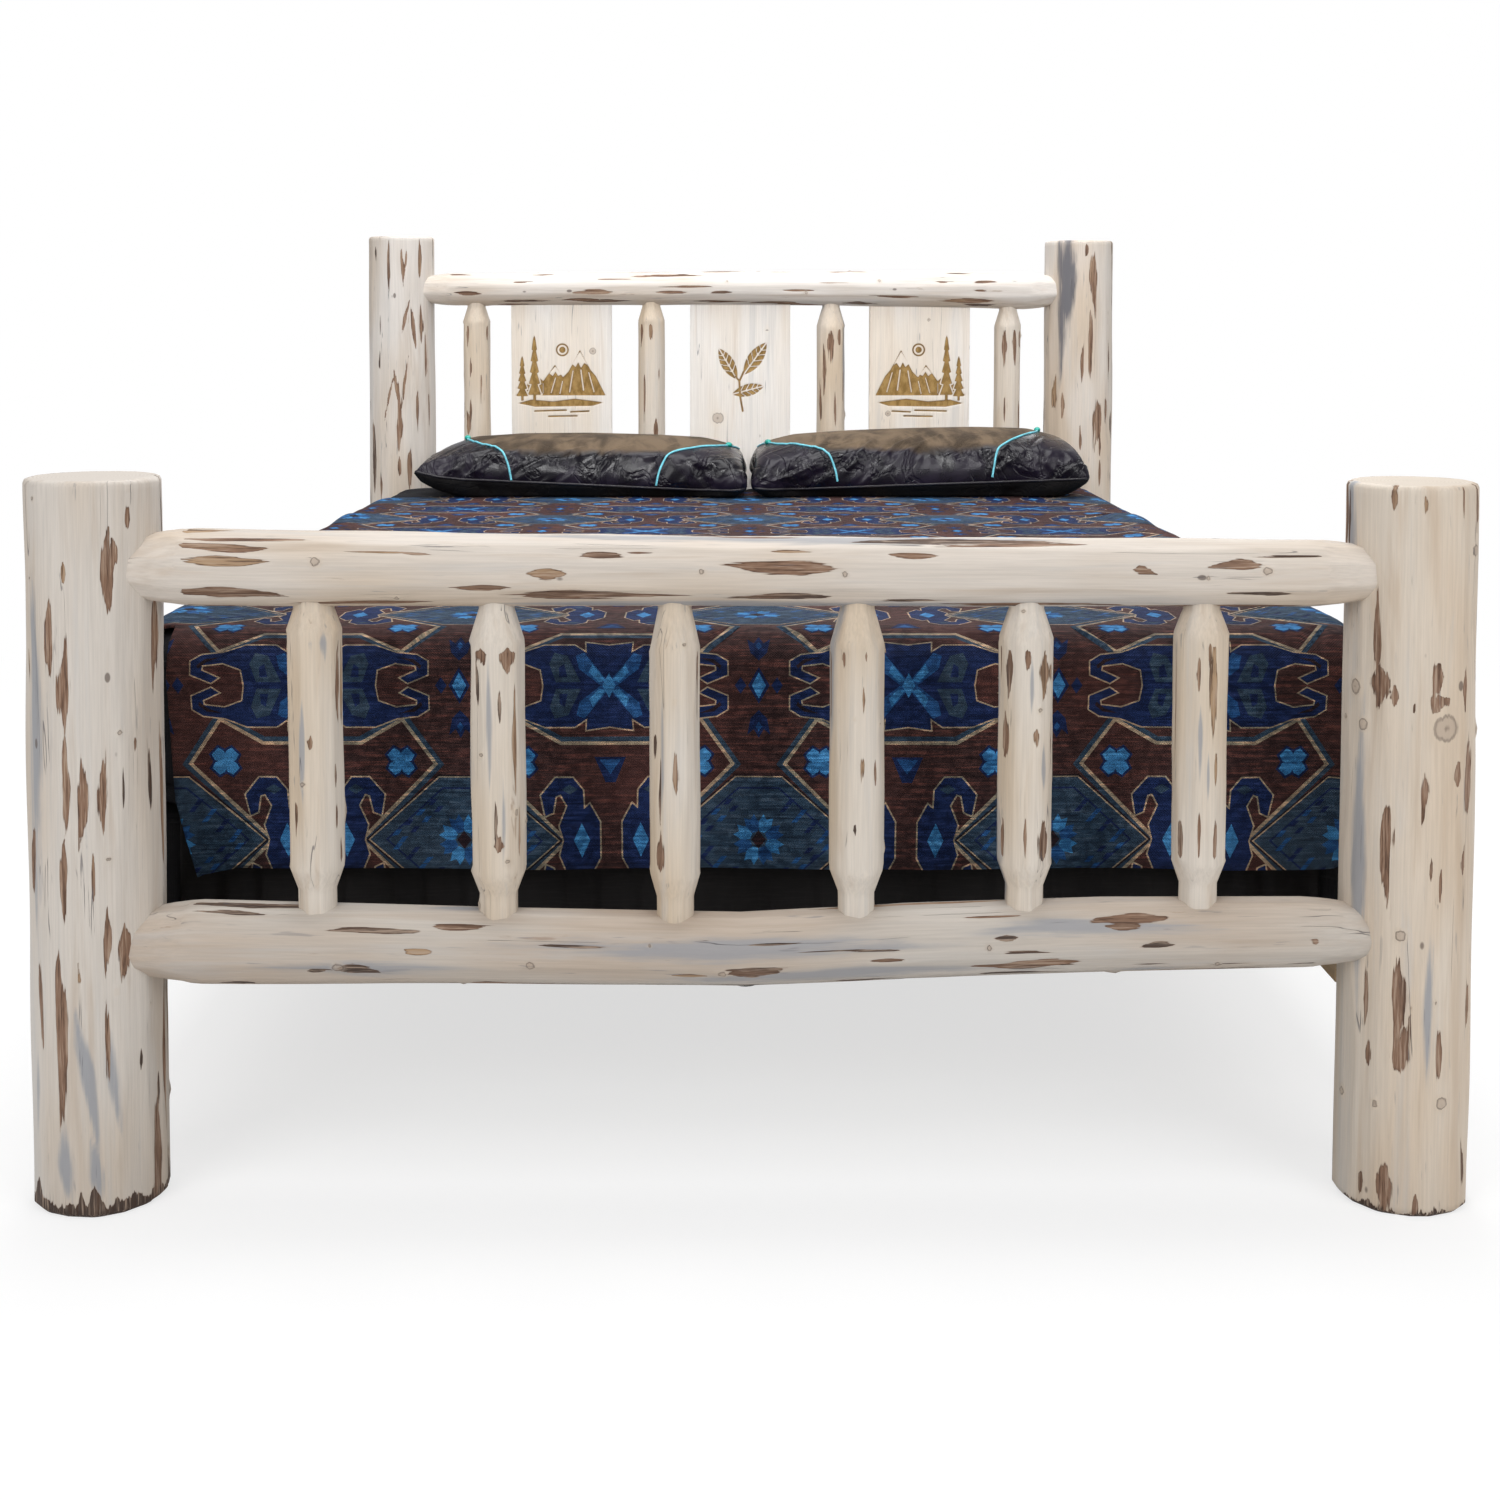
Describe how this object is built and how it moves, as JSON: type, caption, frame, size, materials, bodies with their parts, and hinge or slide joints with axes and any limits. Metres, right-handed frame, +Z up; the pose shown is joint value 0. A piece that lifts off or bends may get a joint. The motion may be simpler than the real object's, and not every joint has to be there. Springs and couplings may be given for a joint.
{
  "type": "rustic log bed",
  "caption": "Peeled log bed with round-tenon rails, turned-down spindles, a panelled head end, hooked half-log side rails, foundation, mattress, coverlet and pillows.",
  "frame": {"origin": "on the floor, in the middle of the space that the four posts enclose", "axes": "+X to the right seen from the foot, +Y from foot to head, +Z up"},
  "size_m": [1.6759, 2.388, 1.185],
  "materials": {
    "peeled_log": "peeled pine with reddish brown bark streaks, clear satin",
    "panel_board": "sanded pine board, clear satin, shallow brown engraving",
    "sawn_pine": "sawn, unfinished",
    "black_steel": "black powder coat",
    "zinc_screws": "zinc plated",
    "leveller_metal": "zinc plated",
    "foundation_cloth": "black woven cover",
    "skirt_cloth": "black pleated cloth",
    "mattress_cloth": "black woven cover",
    "coverlet_cloth": "woven jacquard, brown and blue",
    "pillow_leather": "dark brown, suede top and glossy front"
  },
  "bodies": {
    "frame": {"centre_leg_1": "sawn_pine", "centre_leg_2": "sawn_pine", "centre_leg_3": "sawn_pine", "foot_bottom_rail": "peeled_log", "foot_post_left": "peeled_log", "foot_post_right": "peeled_log", "foot_spindle_1": "peeled_log", "foot_spindle_2": "peeled_log", "foot_spindle_3": "peeled_log", "foot_spindle_4": "peeled_log", "foot_spindle_5": "peeled_log", "foot_spindle_6": "peeled_log", "foot_top_rail": "peeled_log", "head_bottom_rail": "peeled_log", "head_panel_centre": "panel_board", "head_panel_left": "panel_board", "head_panel_right": "panel_board", "head_post_left": "peeled_log", "head_post_right": "peeled_log", "head_spindle_1": "peeled_log", "head_spindle_2": "peeled_log", "head_spindle_3": "peeled_log", "head_spindle_4": "peeled_log", "head_top_rail": "peeled_log", "ledger_left": "sawn_pine", "ledger_right": "sawn_pine", "ledger_screws": "zinc_screws", "leg_screws": "zinc_screws", "leveller_inserts": "leveller_metal", "post_plate_foot_left": "black_steel", "post_plate_foot_right": "black_steel", "post_plate_head_left": "black_steel", "post_plate_head_right": "black_steel", "post_plate_screws": "zinc_screws", "rail_hook_foot_left": "black_steel", "rail_hook_foot_right": "black_steel", "rail_hook_head_left": "black_steel", "rail_hook_head_right": "black_steel", "rail_hook_screws": "zinc_screws", "side_rail_left": "peeled_log", "side_rail_right": "peeled_log", "slat_1": "sawn_pine", "slat_2": "sawn_pine", "slat_3": "sawn_pine", "slat_4": "sawn_pine", "slat_5": "sawn_pine", "slat_screws": "zinc_screws"},
    "foundation": {"foundation": "foundation_cloth", "foot_skirt": "skirt_cloth"},
    "mattress": {"mattress": "mattress_cloth", "coverlet": "coverlet_cloth"},
    "pillow_left": {"pillow_left": "pillow_leather"},
    "pillow_right": {"pillow_right": "pillow_leather"},
    "leveller_1": {"leg_leveller_1": "leveller_metal"},
    "leveller_2": {"leg_leveller_2": "leveller_metal"},
    "leveller_3": {"leg_leveller_3": "leveller_metal"}
  },
  "joints": [
    {"name": "foundation_lift", "type": "slide", "parent": "frame", "child": "foundation", "axis": [0, 0, 1], "range_m": [0, 0.2]},
    {"name": "mattress_lift", "type": "slide", "parent": "foundation", "child": "mattress", "axis": [0, 0, 1], "range_m": [0, 0.2]},
    {"name": "pillow_left_lift", "type": "slide", "parent": "mattress", "child": "pillow_left", "axis": [0, 0, 1], "range_m": [0, 0.25]},
    {"name": "pillow_right_lift", "type": "slide", "parent": "mattress", "child": "pillow_right", "axis": [0, 0, 1], "range_m": [0, 0.25]},
    {"name": "leveller_1_screw", "type": "slide", "parent": "frame", "child": "leveller_1", "axis": [0, 0, 1], "range_m": [0, 0.015]},
    {"name": "leveller_2_screw", "type": "slide", "parent": "frame", "child": "leveller_2", "axis": [0, 0, 1], "range_m": [0, 0.015]},
    {"name": "leveller_3_screw", "type": "slide", "parent": "frame", "child": "leveller_3", "axis": [0, 0, 1], "range_m": [0, 0.015]}
  ]
}
